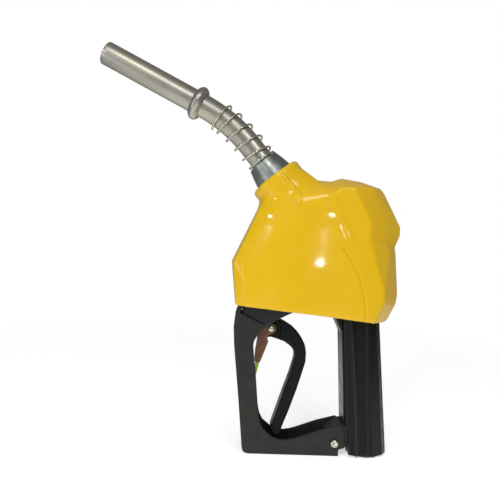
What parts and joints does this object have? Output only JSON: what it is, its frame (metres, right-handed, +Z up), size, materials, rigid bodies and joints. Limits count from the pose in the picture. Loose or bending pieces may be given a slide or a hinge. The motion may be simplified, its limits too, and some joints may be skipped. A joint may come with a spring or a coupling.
{
  "type": "fuel nozzle",
  "caption": "Hand-held automatic shut-off fuel nozzle: bent spout with anchor spring, squeeze lever with hold-open clip in a guard, main valve, latch and diaphragm under a soft cover.",
  "frame": {"origin": "under the middle of the overall length, on the flat foot of the lever guard", "axes": "+Z up from the guard's foot and hose end to the spout's end; the spout points to -X and the handle is at +X; Y is across the mirror plane the lever swings in"},
  "size_m": [0.2726, 0.066, 0.3601],
  "materials": {
    "black_plastic": "satin brownish black moulded plastic",
    "black_rubber": "smooth semi-gloss black rubber",
    "brass": "turned brass",
    "bright_steel": "bright plated steel",
    "dark_zinc": "dark grey cast and turned metal",
    "nitrile": "matt black nitrile",
    "painted_casting": "dark blue-grey paint on cast metal",
    "spout_alloy": "drawn tube with long scratches",
    "yellow_vinyl": "glossy dipped vinyl, golden yellow",
    "yellow_zinc": "yellow-zinc plated sheet steel"
  },
  "bodies": {
    "nozzle": {"nozzle_body": "painted_casting", "body_cover": "yellow_vinyl", "grip_sleeve": "black_rubber", "lever_guard": "black_plastic", "guard_rear_screw": "bright_steel", "guard_rear_nut": "bright_steel", "guard_front_screw": "bright_steel", "spout_tube": "spout_alloy", "spout_stop_ring": "spout_alloy", "anchor_spring": "bright_steel", "vacuum_tube": "brass", "spout_collar": "dark_zinc", "spout_seal": "nitrile", "spout_lock_screw": "bright_steel", "check_valve_seat": "brass", "packing_nut": "brass", "stem_packing": "nitrile", "main_valve_cap": "painted_casting", "cap_seal": "nitrile", "latch_ring": "bright_steel", "diaphragm": "nitrile", "diaphragm_cap": "painted_casting", "cap_screw_1": "bright_steel", "cap_screw_2": "bright_steel", "cap_screw_3": "bright_steel", "cap_screw_4": "bright_steel", "plunger_spring": "bright_steel", "main_valve_spring": "bright_steel", "check_valve_spring": "bright_steel", "diaphragm_spring": "bright_steel"},
    "plunger": {"latch_plunger": "bright_steel", "lever_pivot_pin": "bright_steel", "latch_ball_1": "bright_steel", "latch_ball_2": "bright_steel", "latch_ball_3": "bright_steel"},
    "lever": {"lever": "black_plastic", "clip_rivet": "bright_steel", "clip_spring": "bright_steel"},
    "clip": {"hold_open_clip": "yellow_zinc"},
    "stem": {"valve_stem": "bright_steel", "main_poppet": "brass", "poppet_seal": "nitrile"},
    "latch_pin": {"latch_pin": "bright_steel", "diaphragm_plate": "brass"},
    "check_valve": {"check_valve_poppet": "brass"}
  },
  "joints": [
    {"name": "plunger_trip", "type": "slide", "parent": "nozzle", "child": "plunger", "axis": [-0.7071, 0, -0.7071], "range_m": [0, 0.007], "stiffness_N_per_m": 400, "springref_m": -0.01, "deforming": ["plunger_spring"]},
    {"name": "lever_squeeze", "type": "hinge", "parent": "plunger", "child": "lever", "pos_m": [0.014, 0, 0.128], "axis": [0, -1, 0], "range_deg": [0, 20], "stiffness_Nm_per_rad": 0.6, "springref_deg": -8.59},
    {"name": "clip_swing", "type": "hinge", "parent": "lever", "child": "clip", "pos_m": [0.0238, 0, 0.1083], "axis": [0, -1, 0], "range_deg": [-8, 25], "stiffness_Nm_per_rad": 0.05, "deforming": ["clip_spring"]},
    {"name": "valve_lift", "type": "slide", "parent": "nozzle", "child": "stem", "axis": [0.8746, 0, 0.4848], "range_m": [0, 0.0056], "deforming": ["main_valve_spring"]},
    {"name": "latch_pin_lift", "type": "slide", "parent": "nozzle", "child": "latch_pin", "axis": [0.7071, 0, 0.7071], "range_m": [0, 0.003], "stiffness_N_per_m": 300, "springref_m": -0.005, "deforming": ["diaphragm_spring", "diaphragm"]},
    {"name": "check_valve_lift", "type": "slide", "parent": "nozzle", "child": "check_valve", "axis": [-0.6361, 0, 0.7716], "range_m": [0, 0.004], "stiffness_N_per_m": 300, "springref_m": -0.005, "deforming": ["check_valve_spring"]}
  ],
  "couplings": [
    {"joint": "valve_lift", "follows": "lever_squeeze", "m_per_rad": 0.015}
  ]
}
